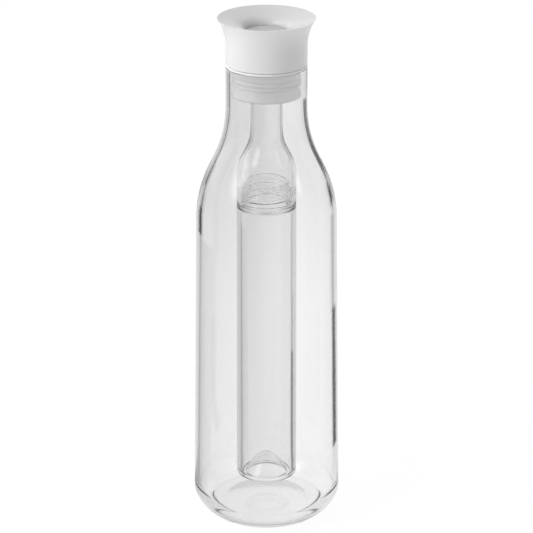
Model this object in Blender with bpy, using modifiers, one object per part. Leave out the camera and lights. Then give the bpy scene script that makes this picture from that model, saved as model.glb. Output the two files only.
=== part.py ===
"""Glass carafe with a self-closing pouring lid and a screw-on cooling core.

Everything is turned about the Z axis. The origin is the middle of the base.
Radii are built up from the core outwards, and heights from the base or from
the glass lip, so that neighbours keep their clearance when a size changes.
"""
import math

import bmesh
import bpy

MM = 0.001

# Clearances
GAP = 0.3 * MM                    # between pieces that touch
VALVE_CLEARANCE = 0.9 * MM        # between the valve boss and the seat's bore
STOP_CLEARANCE = 0.1 * MM         # left between clip and guide at full lift
THREAD_CLEARANCE = 0.35 * MM      # radial, between crest and root of the thread
FLOOR_CLEARANCE = 2.3 * MM        # left under the tube when it is unscrewed

# Cooling core
CORE_NECK_RADIUS = 9.5 * MM
CORE_NECK_WALL = 2.2 * MM
CORE_NECK_LENGTH = 32.0 * MM      # straight part of the cap's neck
CORE_FLARE_HEIGHT = 31.0 * MM     # bottle-like shoulder of the cap
CAP_SKIRT = 15.3 * MM             # cylindrical skirt that screws over the tube's neck
CAP_WALL = 3.0 * MM               # of the skirt
CAP_DROP = 1.1 * MM               # from the outer to the inner side of the shoulder
TUBE_TOP_RADIUS = 17.9 * MM
TUBE_NECK_WALL = 1.8 * MM
TUBE_NECK_CHAMFER = 0.5 * MM
TUBE_SHOULDER_WALL = 1.0 * MM
TUBE_SHOULDER_SLOPE = 3.0 * MM    # from the neck's bore down to the tube's bore
TUBE_TAPER = 0.5 * MM             # the tube is this much wider at its bottom
TUBE_WALL = 3.0 * MM
TUBE_EDGE = 2.0 * MM              # rounding of the tube's bottom edge
TUBE_FLOOR = 2.0 * MM
TUBE_FOOT_WIDTH = 3.4 * MM        # flat ring under the tube
KICK_UP_HEIGHT = 12.0 * MM
KICK_UP_TIP = 3.4 * MM            # half width of the cone's rounded tip
KICK_UP_BULGE = (0.7, 0.75)       # bend of the cone's side, in shares of radius and height
GASKET_THICKNESS = 0.6 * MM
RING_THICKNESS = 0.7 * MM         # O-ring on the core's neck, radially
RING_HEIGHT = 1.1 * MM
RING_DEPTH = 4.5 * MM             # from the neck's top to the O-ring's middle
PLUG_LENGTH = 7.0 * MM
PLUG_HEAD = 1.0 * MM

# Screw thread of the core, right-handed
PITCH = 2.0 * MM
MALE_TURNS = 5
FEMALE_TURNS = 3
THREAD_DEPTH = 0.9 * MM
THREAD_BASE = 1.0 * MM
THREAD_CREST = 0.4 * MM
THREAD_ROOTING = 0.35 * MM        # how deep the ridge starts inside its wall
THREAD_LEAD = 1.2 * MM            # plain length before the first turn
THREAD_END = 1.1 * MM             # plain length after the last turn

# Lid insert
HUB_WALL = 1.2 * MM
PASSAGE_WIDTH = 4.5 * MM          # water passage between hub and sleeve
SLEEVE_WALL = 2.0 * MM
SLEEVE_RISE = 12.8 * MM           # sleeve above the insert's flange
FLANGE_THICKNESS = 1.6 * MM
SPOKE_COUNT = 4
SPOKE_THICKNESS = 1.6 * MM
SPOKE_HEIGHT = 12.0 * MM
WEB_THICKNESS = 2.0 * MM
GUIDE_WALL = 1.7 * MM
GUIDE_RISE = 4.0 * MM
SPOKE_DROP = 2.3 * MM             # from the throat tube down to the spokes

# Neck seal
SEAL_DEPTH = 2.9 * MM             # radially, from bore to fin
SEAL_BODY = 1.4 * MM              # radially, from bore to the grooves' floor
SEAL_LENGTH = 17.5 * MM           # below the glass lip
SEAL_FLANGE = 1.2 * MM            # ring that shows between the glass and the collar
SKIRT_HEIGHT = 7.4 * MM
FIN_PITCH = 2.6 * MM
FIN_COUNT = 2
FIN_EDGE = 0.8 * MM               # plain length of the bore side above each fin
FIN_DROP = 0.8 * MM               # how far a fin's upper side slopes down
FIN_TIP = 0.4 * MM
SKIRT_TAPER = 0.4 * MM            # narrowing of the skirt above its foot

# Glass
NECK_WALL = 3.1 * MM
LIP_ROUND = 1.2 * MM
GLASS_HEIGHT = 287.0 * MM
SHOULDER_TOP = 265.5 * MM
SHOULDER_BOTTOM = 189.5 * MM
BODY_RADIUS = 45.0 * MM
BODY_TAPER = 2.7 * MM             # the body is this much slimmer at its shoulder
BODY_WALL = 3.0 * MM
HEEL_WIDTH = 14.0 * MM
HEEL_HEIGHT = 15.0 * MM
HEEL_POWER = 1.5                  # 2 is a quarter ellipse, less is softer
INNER_HEEL_WIDTH = 8.8 * MM
INNER_HEEL_HEIGHT = 16.0 * MM
INNER_HEEL_START = -80.0          # degrees, where the heel meets the floor in a crease
FLOOR_THICKNESS = 5.5 * MM
FLOOR_DOME = 5.5 * MM
BEARING_WIDTH = 5.0 * MM
PUNT_DEPTH = 4.0 * MM

# Pouring collar
COLLAR_HEIGHT = 27.2 * MM
COLLAR_WALL = 2.0 * MM
COLLAR_FLARE_HEIGHT = 16.5 * MM
COLLAR_FLARE_WIDTH = 4.8 * MM
RIM_EDGE = 0.4 * MM
FUNNEL_DEPTH = 8.3 * MM
FUNNEL_WALL = 2.2 * MM
FUNNEL_STEPS = 6
THROAT_WALL = 1.8 * MM
THROAT_TUBE = 11.2 * MM           # throat tube below the valve disc's top
SEAT_WIDTH = 2.2 * MM
SEAT_THICKNESS = 1.6 * MM

# Valve
DISC_EDGE = 1.0 * MM
DISC_DISH = 0.5 * MM              # hollow of the disc's upper face
BOSS_HEIGHT = 2.4 * MM
VALVE_GASKET = 1.0 * MM
STEM_RADIUS = 2.0 * MM
STEM_TIP = 1.0 * MM
VALVE_LIFT = 6.0 * MM
CLIP_THICKNESS = 1.3 * MM
CLIP_WIDTH = 2.1 * MM
CLIP_GROOVE = 0.6 * MM

# Facets
BODY_SEGMENTS = 40
CORE_SEGMENTS = 28
SMALL_SEGMENTS = 20
CURVE_STEPS = 9
ROUND_STEPS = 3

# Radii from the core outwards
HUB_BORE = CORE_NECK_RADIUS + GAP
HUB_RADIUS = HUB_BORE + HUB_WALL
SLEEVE_BORE = HUB_RADIUS + PASSAGE_WIDTH
SLEEVE_RADIUS = SLEEVE_BORE + SLEEVE_WALL
SEAL_BORE = SLEEVE_RADIUS + GAP
SEAL_RADIUS = SEAL_BORE + SEAL_DEPTH
NECK_BORE = SEAL_RADIUS + GAP
NECK_RADIUS = NECK_BORE + NECK_WALL
COLLAR_BORE = NECK_RADIUS - COLLAR_WALL
MOUTH_RADIUS = NECK_RADIUS + COLLAR_FLARE_WIDTH
THROAT_OUTER = SLEEVE_BORE - GAP
THROAT_RADIUS = THROAT_OUTER - THROAT_WALL
SEAT_BORE = THROAT_RADIUS - SEAT_WIDTH
DISC_RADIUS = THROAT_RADIUS - GAP
BOSS_RADIUS = SEAT_BORE - VALVE_CLEARANCE
GUIDE_BORE = STEM_RADIUS + GAP
TUBE_BORE = TUBE_TOP_RADIUS - TUBE_WALL
CAP_BORE = TUBE_TOP_RADIUS - CAP_WALL
MALE_CREST = CAP_BORE - THREAD_CLEARANCE
TUBE_NECK_RADIUS = MALE_CREST - THREAD_DEPTH
FEMALE_CREST = TUBE_NECK_RADIUS + THREAD_CLEARANCE
TUBE_NECK_BORE = TUBE_NECK_RADIUS - TUBE_NECK_WALL

# Heights of the lid, from the glass lip
SEAL_SEAT = GLASS_HEIGHT + GAP
SEAL_TOP = SEAL_SEAT + SEAL_FLANGE
SEAL_BOTTOM = GLASS_HEIGHT - SEAL_LENGTH
COLLAR_BOTTOM = SEAL_TOP + GAP
RIM_Z = COLLAR_BOTTOM + COLLAR_HEIGHT
FLANGE_BOTTOM = SEAL_TOP + GAP
FLANGE_TOP = FLANGE_BOTTOM + FLANGE_THICKNESS
SLEEVE_TOP = FLANGE_TOP + SLEEVE_RISE
SLEEVE_BOTTOM = SEAL_BOTTOM + SEAL_BODY / 2
DISC_TOP = RIM_Z - FUNNEL_DEPTH
DISC_UNDERSIDE = DISC_TOP - DISC_EDGE
GASKET_UNDERSIDE = DISC_UNDERSIDE - GAP - VALVE_GASKET
SEAT_TOP = GASKET_UNDERSIDE - GAP
THROAT_BOTTOM = DISC_TOP - THROAT_TUBE
WEB_TOP = THROAT_BOTTOM - SPOKE_DROP
WEB_BOTTOM = WEB_TOP - WEB_THICKNESS
CLIP_TOP = WEB_BOTTOM - VALVE_LIFT - STOP_CLEARANCE
CLIP_BOTTOM = CLIP_TOP - CLIP_THICKNESS
STEM_BOTTOM = CLIP_BOTTOM - GAP - STEM_TIP

# Heights of the core, hung from the hub
PLUG_TOP = STEM_BOTTOM - GAP
CORE_TOP = PLUG_TOP - PLUG_HEAD - GAP
RING_Z = CORE_TOP - RING_DEPTH
FLARE_TOP = CORE_TOP - CORE_NECK_LENGTH
FLARE_BOTTOM = FLARE_TOP - CORE_FLARE_HEIGHT
CAP_UNDERSIDE = FLARE_BOTTOM - CAP_SKIRT
GASKET_TOP = CAP_UNDERSIDE - GAP
TUBE_SHOULDER = GASKET_TOP - GASKET_THICKNESS - GAP
MALE_THREAD_TOP = TUBE_SHOULDER + THREAD_END + THREAD_BASE / 2 + MALE_TURNS * PITCH
TUBE_TOP = MALE_THREAD_TOP + THREAD_BASE / 2 + THREAD_LEAD
UNSCREW_TRAVEL = (MALE_TURNS + 0.5) * PITCH
FLOOR_TOP = FLOOR_THICKNESS + FLOOR_DOME
TUBE_BOTTOM = FLOOR_TOP + UNSCREW_TRAVEL + FLOOR_CLEARANCE


def clear_scene():
    """Remove what the file holds, so that the script can be run again."""
    for obj in list(bpy.data.objects):
        bpy.data.objects.remove(obj, do_unlink=True)
    for collection in list(bpy.data.collections):
        bpy.data.collections.remove(collection)


def make_collection(name):
    collection = bpy.data.collections.new(name)
    bpy.context.scene.collection.children.link(collection)
    return collection


def make_material(name, color, roughness, alpha=1.0, transmission=0.0):
    material = bpy.data.materials.new(name)
    material.use_nodes = True
    shader = material.node_tree.nodes["Principled BSDF"]
    shader.inputs["Base Color"].default_value = (*color, 1.0)
    shader.inputs["Roughness"].default_value = roughness
    shader.inputs["Metallic"].default_value = 0.0
    shader.inputs["Alpha"].default_value = alpha
    shader.inputs["Transmission Weight"].default_value = transmission
    material.diffuse_color = (*color, alpha)
    return material


# Outlines are lists of (radius, height). At +X they run down the outer side.

def bezier(start, start_handle, end_handle, end, steps=CURVE_STEPS):
    """Points of a cubic curve, both ends included."""
    points = []
    for i in range(steps + 1):
        t = i / steps
        weights = ((1 - t) ** 3, 3 * t * (1 - t) ** 2, 3 * t * t * (1 - t), t ** 3)
        knots = (start, start_handle, end_handle, end)
        points.append(tuple(sum(w * p[k] for w, p in zip(weights, knots)) for k in (0, 1)))
    return points


def s_curve(top, bottom, steps=CURVE_STEPS):
    """Shoulder that leaves both ends parallel to the axis."""
    middle = (top[1] + bottom[1]) / 2
    return bezier(top, (top[0], middle), (bottom[0], middle), bottom, steps)


def quarter(center, width, height, start, end, power=2.0, steps=ROUND_STEPS):
    """Arc of a (super)ellipse about center, from angle start to end in degrees."""
    points = []
    for i in range(steps + 1):
        angle = math.radians(start + (end - start) * i / steps)
        c = math.cos(angle)
        s = math.sin(angle)
        points.append((center[0] + width * math.copysign(abs(c) ** (2 / power), c),
                       center[1] + height * math.copysign(abs(s) ** (2 / power), s)))
    return points


def ring(inner, outer, bottom, top):
    """Outline of a plain ring."""
    return [(outer, top), (outer, bottom), (inner, bottom), (inner, top)]


def add_object(name, mesh, collection, material=None):
    obj = bpy.data.objects.new(name, mesh)
    if material:
        mesh.materials.append(material)
    collection.objects.link(obj)
    return obj


def bake(obj):
    """Replace an object's mesh by its evaluated one, shaded smooth between sharp edges."""
    depsgraph = bpy.context.evaluated_depsgraph_get()
    mesh = bpy.data.meshes.new_from_object(obj.evaluated_get(depsgraph))
    obj.modifiers.clear()
    obj.data = mesh
    mesh.shade_smooth()
    mesh.set_sharp_from_angle(angle=math.radians(35))
    return obj


def turn(name, outline, collection, material=None, segments=CORE_SEGMENTS, closed=True):
    """Turn an outline about Z. An open outline starts and ends on the axis."""
    count = len(outline)
    edges = [(i, i + 1) for i in range(count - 1)]
    if closed:
        edges.append((count - 1, 0))
    mesh = bpy.data.meshes.new(name)
    mesh.from_pydata([(r, 0.0, z) for r, z in outline], edges, [])
    obj = add_object(name, mesh, collection, material)
    screw = obj.modifiers.new("Turn", "SCREW")
    screw.axis = "Z"
    screw.angle = 2 * math.pi
    screw.steps = segments
    screw.render_steps = segments
    screw.use_merge_vertices = True
    screw.merge_threshold = 1e-6
    return bake(obj)


def thread_ridge(name, base, crest, middle_top, turns, collection):
    """Helical ridge whose section goes from the radius base to the radius crest."""
    start_z = middle_top - turns * PITCH
    half_base = THREAD_BASE / 2
    half_crest = THREAD_CREST / 2
    section = [(crest, start_z + half_crest), (crest, start_z - half_crest),
               (base, start_z - half_base), (base, start_z + half_base)]
    mesh = bpy.data.meshes.new(name)
    loop = [(i, (i + 1) % len(section)) for i in range(len(section))]
    mesh.from_pydata([(r, 0.0, z) for r, z in section], loop, [])
    obj = add_object(name, mesh, collection)
    screw = obj.modifiers.new("Helix", "SCREW")
    screw.axis = "Z"
    screw.angle = 2 * math.pi * turns
    screw.screw_offset = PITCH * turns
    screw.steps = CORE_SEGMENTS * turns
    screw.render_steps = CORE_SEGMENTS * turns
    bake(obj)
    closed = bmesh.new()
    closed.from_mesh(obj.data)
    ends = [edge for edge in closed.edges if edge.is_boundary]
    bmesh.ops.holes_fill(closed, edges=ends, sides=len(section))
    bmesh.ops.recalc_face_normals(closed, faces=closed.faces)
    closed.to_mesh(obj.data)
    closed.free()
    return obj


def join_solids(target, tools):
    """Unite target with the tools by Boolean modifiers, and bake the result."""
    for tool in tools:
        tool.hide_render = True
        tool.display_type = "WIRE"
        union = target.modifiers.new("Join " + tool.name, "BOOLEAN")
        union.operation = "UNION"
        union.solver = "EXACT"
        union.object = tool
    return bake(target)


def glass_outline():
    """Bottle: outer side down, under the base, up the inner side, over the lip."""
    shoulder_radius = BODY_RADIUS - BODY_TAPER
    bearing_outer = BODY_RADIUS - HEEL_WIDTH
    bearing_inner = bearing_outer - BEARING_WIDTH
    inner_radius = BODY_RADIUS - BODY_WALL
    corner_radius = inner_radius - INNER_HEEL_WIDTH
    lip_z = GLASS_HEIGHT - LIP_ROUND
    outline = quarter((NECK_RADIUS - LIP_ROUND, lip_z), LIP_ROUND, LIP_ROUND, 90, 0)
    outline += s_curve((NECK_RADIUS, SHOULDER_TOP), (shoulder_radius, SHOULDER_BOTTOM))
    outline += quarter((bearing_outer, HEEL_HEIGHT), HEEL_WIDTH, HEEL_HEIGHT, 0, -90,
                       HEEL_POWER, 7)
    for share in (1.0, 0.5):
        radius = bearing_inner * share
        outline.append((radius, PUNT_DEPTH * (1 - share ** 2)))
    outline.append((0.0, PUNT_DEPTH))
    inner = [(0.0, FLOOR_TOP)]
    for share in (0.35, 0.7):
        inner.append((corner_radius * share, FLOOR_TOP - FLOOR_DOME * share ** 2))
    inner += quarter((corner_radius, FLOOR_THICKNESS + INNER_HEEL_HEIGHT),
                     INNER_HEEL_WIDTH, INNER_HEEL_HEIGHT, INNER_HEEL_START, 0, 2.0, 5)
    inner += reversed(s_curve((NECK_BORE, SHOULDER_TOP),
                              (shoulder_radius - BODY_WALL, SHOULDER_BOTTOM)))
    inner += quarter((NECK_BORE + LIP_ROUND, lip_z), LIP_ROUND, LIP_ROUND, 180, 90)
    return outline, inner


def build_glass(collection, material):
    outer, inner = glass_outline()
    return turn("glass_body", outer + inner, collection, material, BODY_SEGMENTS)


def funnel_point(share):
    """Point of the trumpet-shaped funnel, from the throat (0) to the rim (1)."""
    rim = MOUTH_RADIUS - RIM_EDGE
    angle = math.radians(90 * share)
    return (rim - (rim - THROAT_RADIUS) * math.cos(angle),
            DISC_TOP + FUNNEL_DEPTH * math.sin(angle))


def collar_outline():
    """Flared collar: outer side, hollow underside, throat tube, seat and funnel."""
    flare_z = RIM_Z - COLLAR_FLARE_HEIGHT
    bend = (COLLAR_FLARE_HEIGHT ** 2 + COLLAR_FLARE_WIDTH ** 2) / (2 * COLLAR_FLARE_WIDTH)
    sweep = math.degrees(math.asin(COLLAR_FLARE_HEIGHT / bend))
    center = (NECK_RADIUS + bend, flare_z)
    outline = [(MOUTH_RADIUS - RIM_EDGE / 2, RIM_Z)]
    outline += quarter(center, bend, bend, 180 - sweep, 180, 2.0, 7)
    outline += [(NECK_RADIUS, COLLAR_BOTTOM), (COLLAR_BORE, COLLAR_BOTTOM)]
    outline += quarter(center, bend + COLLAR_WALL, bend, 180, 180 - sweep / 2, 2.0, 3)
    under = [funnel_point(i / FUNNEL_STEPS) for i in (4, 3, 2)]
    outline += [(r + COLLAR_WALL / 2, z - FUNNEL_WALL) for r, z in under]
    outline += [(THROAT_OUTER, DISC_TOP - COLLAR_WALL / 2), (THROAT_OUTER, THROAT_BOTTOM)]
    outline += [(THROAT_RADIUS, THROAT_BOTTOM), (THROAT_RADIUS, SEAT_TOP - SEAT_THICKNESS)]
    outline += [(SEAT_BORE, SEAT_TOP - SEAT_THICKNESS), (SEAT_BORE, SEAT_TOP)]
    outline.append((THROAT_RADIUS, SEAT_TOP))
    outline += [funnel_point(i / FUNNEL_STEPS) for i in range(FUNNEL_STEPS + 1)]
    return outline


def build_collar(collection, material):
    return turn("pouring_collar", collar_outline(), collection, material, BODY_SEGMENTS)


def build_insert(collection, tools, material):
    """Sleeve with its flange, the hub that guides the stem and holds the core, spokes."""
    flange_radius = COLLAR_BORE - GAP
    sleeve = [(SLEEVE_RADIUS, SLEEVE_TOP), (SLEEVE_RADIUS, FLANGE_TOP),
              (flange_radius, FLANGE_TOP), (flange_radius, FLANGE_BOTTOM),
              (SLEEVE_RADIUS, FLANGE_BOTTOM), (SLEEVE_RADIUS, SLEEVE_BOTTOM),
              (SLEEVE_BORE, SLEEVE_BOTTOM), (SLEEVE_BORE, SLEEVE_TOP)]
    guide_radius = GUIDE_BORE + GUIDE_WALL
    hub = [(guide_radius, WEB_TOP + GUIDE_RISE), (guide_radius, WEB_TOP),
           (HUB_RADIUS, WEB_TOP), (HUB_RADIUS, SLEEVE_BOTTOM),
           (HUB_BORE, SLEEVE_BOTTOM), (HUB_BORE, WEB_BOTTOM),
           (GUIDE_BORE, WEB_BOTTOM), (GUIDE_BORE, WEB_TOP + GUIDE_RISE)]
    insert = turn("lid_insert", sleeve, collection, material)
    parts = [turn("hub", hub, tools)]
    inner = HUB_RADIUS - HUB_WALL / 2
    outer = SLEEVE_BORE + SLEEVE_WALL / 2
    for i in range(SPOKE_COUNT):
        angle = 2 * math.pi * (i + 0.5) / SPOKE_COUNT
        bpy.ops.mesh.primitive_cube_add(size=1.0)
        spoke = bpy.context.object
        spoke.name = "spoke_%d" % (i + 1)
        spoke.scale = (outer - inner, SPOKE_THICKNESS, SPOKE_HEIGHT)
        middle = (inner + outer) / 2
        spoke.location = (middle * math.cos(angle), middle * math.sin(angle),
                          WEB_TOP - SPOKE_HEIGHT / 2)
        spoke.rotation_euler = (0.0, 0.0, angle)
        for owner in list(spoke.users_collection):
            owner.objects.unlink(spoke)
        tools.objects.link(spoke)
        parts.append(spoke)
    return join_solids(insert, parts)


def build_seal(collection, material):
    """Stopper: flange on the glass lip, two fins, and a skirt with a rounded foot."""
    floor = SEAL_BORE + SEAL_BODY
    neck_side = NECK_BORE - (SEAL_DEPTH - SEAL_BODY) / 2 - GAP
    outline = [(NECK_RADIUS, SEAL_TOP), (NECK_RADIUS, SEAL_SEAT), (neck_side, SEAL_SEAT)]
    skirt_top = SEAL_BOTTOM + SKIRT_HEIGHT
    fins_top = skirt_top + FIN_COUNT * FIN_PITCH
    outline.append((neck_side, fins_top + FIN_EDGE / 2))
    for i in range(FIN_COUNT):
        top = fins_top - i * FIN_PITCH
        outline += [(floor, top), (floor, top - FIN_EDGE),
                    (SEAL_RADIUS, top - FIN_EDGE - FIN_DROP),
                    (SEAL_RADIUS, top - FIN_EDGE - FIN_DROP - FIN_TIP)]
    outline += [(floor, skirt_top), (floor, skirt_top - FIN_EDGE)]
    foot = SEAL_DEPTH - SEAL_BODY
    outline.append((SEAL_RADIUS - SKIRT_TAPER, SEAL_BOTTOM + 2 * foot))
    outline += quarter((SEAL_RADIUS - foot, SEAL_BOTTOM + foot), foot, foot, 0, -90)
    outline += [(SEAL_BORE, SEAL_BOTTOM), (SEAL_BORE, SEAL_TOP)]
    return turn("neck_seal", outline, collection, material, BODY_SEGMENTS)


def build_valve(collection, materials):
    """Disc with boss and grooved stem, its gasket, and the clip that stops the lift."""
    boss_bottom = DISC_UNDERSIDE - BOSS_HEIGHT
    groove_radius = STEM_RADIUS - CLIP_GROOVE
    disc = [(DISC_RADIUS * share, DISC_TOP - DISC_DISH * (1 - share ** 2))
            for share in (0.0, 0.6)]
    disc += [(DISC_RADIUS - DISC_EDGE, DISC_TOP), (DISC_RADIUS - DISC_EDGE / 3, DISC_TOP),
             (DISC_RADIUS, DISC_TOP - DISC_EDGE / 3), (DISC_RADIUS, DISC_UNDERSIDE),
             (BOSS_RADIUS, DISC_UNDERSIDE), (BOSS_RADIUS, boss_bottom),
             (STEM_RADIUS, boss_bottom), (STEM_RADIUS, CLIP_TOP + GAP),
             (groove_radius, CLIP_TOP + GAP), (groove_radius, CLIP_BOTTOM - GAP),
             (STEM_RADIUS, CLIP_BOTTOM - GAP), (STEM_RADIUS, STEM_BOTTOM), (0.0, STEM_BOTTOM)]
    turn("valve_disc", disc, collection, materials["disc"], closed=False)
    gasket = ring(BOSS_RADIUS + GAP, DISC_RADIUS, GASKET_UNDERSIDE, DISC_UNDERSIDE - GAP)
    turn("valve_gasket", gasket, collection, materials["gasket"])
    clip_bore = groove_radius + GAP
    clip = ring(clip_bore, clip_bore + CLIP_WIDTH, CLIP_BOTTOM, CLIP_TOP)
    turn("stem_clip", clip, collection, materials["clip"], SMALL_SEGMENTS)


def cap_outline():
    """Core cap: grooved neck, shoulder, and the skirt that goes over the tube's neck."""
    groove_radius = CORE_NECK_RADIUS - RING_THICKNESS - GAP
    groove_half = RING_HEIGHT / 2 + GAP
    neck_bore = CORE_NECK_RADIUS - CORE_NECK_WALL
    outline = [(CORE_NECK_RADIUS, CORE_TOP), (CORE_NECK_RADIUS, RING_Z + groove_half),
               (groove_radius, RING_Z + groove_half), (groove_radius, RING_Z - groove_half),
               (CORE_NECK_RADIUS, RING_Z - groove_half)]
    outline += s_curve((CORE_NECK_RADIUS, FLARE_TOP), (TUBE_TOP_RADIUS, FLARE_BOTTOM))
    outline += [(TUBE_TOP_RADIUS, CAP_UNDERSIDE), (CAP_BORE, CAP_UNDERSIDE)]
    outline += reversed(s_curve((neck_bore, FLARE_TOP - CAP_DROP),
                                (CAP_BORE, FLARE_BOTTOM - CAP_DROP), CURVE_STEPS - 2))
    outline += [(neck_bore, CORE_TOP)]
    return outline


def build_cap(collection, tools, material):
    """The female thread runs half a pitch between the turns of the male one."""
    cap = turn("core_cap", cap_outline(), collection, material)
    ridge = thread_ridge("female_thread", CAP_BORE + THREAD_ROOTING, FEMALE_CREST,
                         MALE_THREAD_TOP - PITCH / 2, FEMALE_TURNS, tools)
    return join_solids(cap, [ridge])


def kick_up(radius, foot_z):
    """Cone with a rounded tip, from its foot up to the axis."""
    tip_z = foot_z + KICK_UP_HEIGHT
    across, up = KICK_UP_BULGE
    slope = (radius * across, foot_z + KICK_UP_HEIGHT * up)
    return bezier((radius, foot_z), slope, (KICK_UP_TIP, tip_z), (0.0, tip_z), 5)


def tube_outline():
    """Core tube: neck, shoulder, tapered side, rounded bottom edge, foot ring, coned
    kick-up."""
    bottom_radius = TUBE_TOP_RADIUS + TUBE_TAPER
    foot_outer = bottom_radius - TUBE_EDGE
    foot_inner = foot_outer - TUBE_FOOT_WIDTH
    floor_z = TUBE_BOTTOM + TUBE_FLOOR
    outline = [(TUBE_NECK_RADIUS - TUBE_NECK_CHAMFER, TUBE_TOP),
               (TUBE_NECK_RADIUS, TUBE_TOP - TUBE_NECK_CHAMFER),
               (TUBE_NECK_RADIUS, TUBE_SHOULDER), (TUBE_TOP_RADIUS, TUBE_SHOULDER)]
    outline += quarter((foot_outer, TUBE_BOTTOM + TUBE_EDGE), TUBE_EDGE, TUBE_EDGE, 0, -90)
    outline += kick_up(foot_inner, TUBE_BOTTOM)
    outline += reversed(kick_up(TUBE_BORE - TUBE_EDGE, floor_z))
    outline += quarter((TUBE_BORE - TUBE_EDGE / 2, floor_z + TUBE_EDGE / 2),
                       TUBE_EDGE / 2, TUBE_EDGE / 2, -90, 0, 2.0, 2)
    slope_top = TUBE_SHOULDER - TUBE_SHOULDER_WALL
    outline += [(TUBE_BORE, slope_top - TUBE_SHOULDER_SLOPE), (TUBE_NECK_BORE, slope_top),
                (TUBE_NECK_BORE, TUBE_TOP)]
    return outline


def build_tube(collection, tools, material):
    tube = turn("core_tube", tube_outline(), collection, material)
    ridge = thread_ridge("male_thread", TUBE_NECK_RADIUS - THREAD_ROOTING, MALE_CREST,
                         MALE_THREAD_TOP, MALE_TURNS, tools)
    return join_solids(tube, [ridge])


def build_core_seals(collection, materials):
    """O-ring and plug at the neck, and the gasket on the tube's shoulder."""
    ring_inner = CORE_NECK_RADIUS - RING_THICKNESS
    center = ((ring_inner + CORE_NECK_RADIUS) / 2, RING_Z)
    section = quarter(center, RING_THICKNESS / 2, RING_HEIGHT / 2, 90, -210, 2.0, 5)
    turn("core_neck_ring", section, collection, materials["gasket"])
    plug_radius = CORE_NECK_RADIUS - CORE_NECK_WALL - GAP
    head_radius = CORE_NECK_RADIUS - GAP
    plug = [(0.0, PLUG_TOP), (head_radius, PLUG_TOP), (head_radius, CORE_TOP + GAP),
            (plug_radius, CORE_TOP + GAP), (plug_radius, CORE_TOP - PLUG_LENGTH),
            (0.0, CORE_TOP - PLUG_LENGTH)]
    turn("core_plug", plug, collection, materials["clip"], SMALL_SEGMENTS, closed=False)
    gasket = ring(CAP_BORE + GAP, TUBE_TOP_RADIUS - GAP, TUBE_SHOULDER + GAP, GASKET_TOP)
    turn("core_gasket", gasket, collection, materials["gasket"])


def main():
    clear_scene()
    carafe = make_collection("glass_carafe")
    tools = make_collection("cutters")
    glass = make_material("clear_glass", (0.93, 0.95, 0.95), 0.02, 0.3, 1.0)
    clear_plastic = make_material("clear_plastic", (0.94, 0.95, 0.96), 0.05, 0.35, 1.0)
    white_plastic = make_material("white_plastic", (0.86, 0.86, 0.86), 0.25)
    natural_plastic = make_material("natural_plastic", (0.80, 0.80, 0.79), 0.4)
    silicone = make_material("milky_silicone", (0.82, 0.82, 0.82), 0.45, 0.8, 0.3)
    grey_plastic = make_material("grey_plastic", (0.55, 0.55, 0.56), 0.3)
    soft = {"disc": grey_plastic, "gasket": silicone, "clip": natural_plastic}
    build_glass(carafe, glass)
    build_collar(carafe, white_plastic)
    build_insert(carafe, tools, natural_plastic)
    build_seal(carafe, silicone)
    build_valve(carafe, soft)
    build_cap(carafe, tools, clear_plastic)
    build_tube(carafe, tools, clear_plastic)
    build_core_seals(carafe, soft)


main()
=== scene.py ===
"""Clear glass carafe with a pouring lid and a screw-on cooling core, dressed over its
CAD frame.

Outlines are lists of (radius, height) in millimetres, turned about the Z axis by Geometry
Nodes. An outline runs down the outer side. The origin is the middle of the base.
"""
import math
from types import SimpleNamespace

import bmesh
import bpy
from bpy.props import FloatProperty, FloatVectorProperty, IntProperty, PointerProperty
from mathutils import Matrix, Vector


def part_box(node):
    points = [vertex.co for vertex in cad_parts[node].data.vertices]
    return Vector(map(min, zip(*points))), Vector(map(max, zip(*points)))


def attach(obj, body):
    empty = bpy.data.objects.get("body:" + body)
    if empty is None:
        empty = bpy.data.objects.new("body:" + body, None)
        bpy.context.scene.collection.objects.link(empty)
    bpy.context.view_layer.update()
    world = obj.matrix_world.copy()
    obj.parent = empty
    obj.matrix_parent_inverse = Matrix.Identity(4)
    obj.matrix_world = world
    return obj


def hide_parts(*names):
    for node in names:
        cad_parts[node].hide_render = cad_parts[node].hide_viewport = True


bl_info = {
    "name": "Glass carafe",
    "version": (1, 0, 0),
    "blender": (4, 5, 0),
    "location": "3D View > Sidebar > Carafe",
    "description": "Glass carafe with a pouring lid and a cooling core",
    "category": "Add Mesh",
}

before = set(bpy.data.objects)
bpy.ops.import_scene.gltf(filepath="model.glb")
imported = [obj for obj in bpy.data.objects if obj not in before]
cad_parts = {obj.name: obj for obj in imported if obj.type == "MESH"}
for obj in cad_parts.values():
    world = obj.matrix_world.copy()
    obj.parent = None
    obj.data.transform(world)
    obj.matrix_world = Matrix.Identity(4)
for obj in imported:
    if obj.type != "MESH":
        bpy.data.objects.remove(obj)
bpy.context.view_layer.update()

MM = 0.001
SAME_PLACE = 0.001 * MM    # points closer than this are one

# Millimetres
GAP = 0.3                  # between pieces that touch
SEAM_GAP = 0.1             # above and below the core's gasket
THREAD_STEP = 0.085        # between the points of a wall that carries a thread
THREAD_END = 0.6           # from a wall's end to the first of these points
THREAD_START = 0.68        # and to the second
FUNNEL_WALL = (1.0, 2.2)   # of the collar under its funnel, across and up
SEAT_THICKNESS = 1.6       # of the ledge that the valve rests on
HUB_DROP = 2.3             # from the collar's throat down to the hub
HUB_ROOF = 2.0             # of the hub over the core's plug
GUIDE_WALL = 1.7           # of the tube on the hub that guides the stem
GUIDE_HEIGHT = 4.0
CLIP_GROOVE = 0.6          # in the stem
CLIP_PROUD = 1.8           # of the clip round the stem
RING_GROOVE = 1.0          # in the core's neck
FLOOR_DROP = 0.2           # of the paper under the carafe

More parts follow.
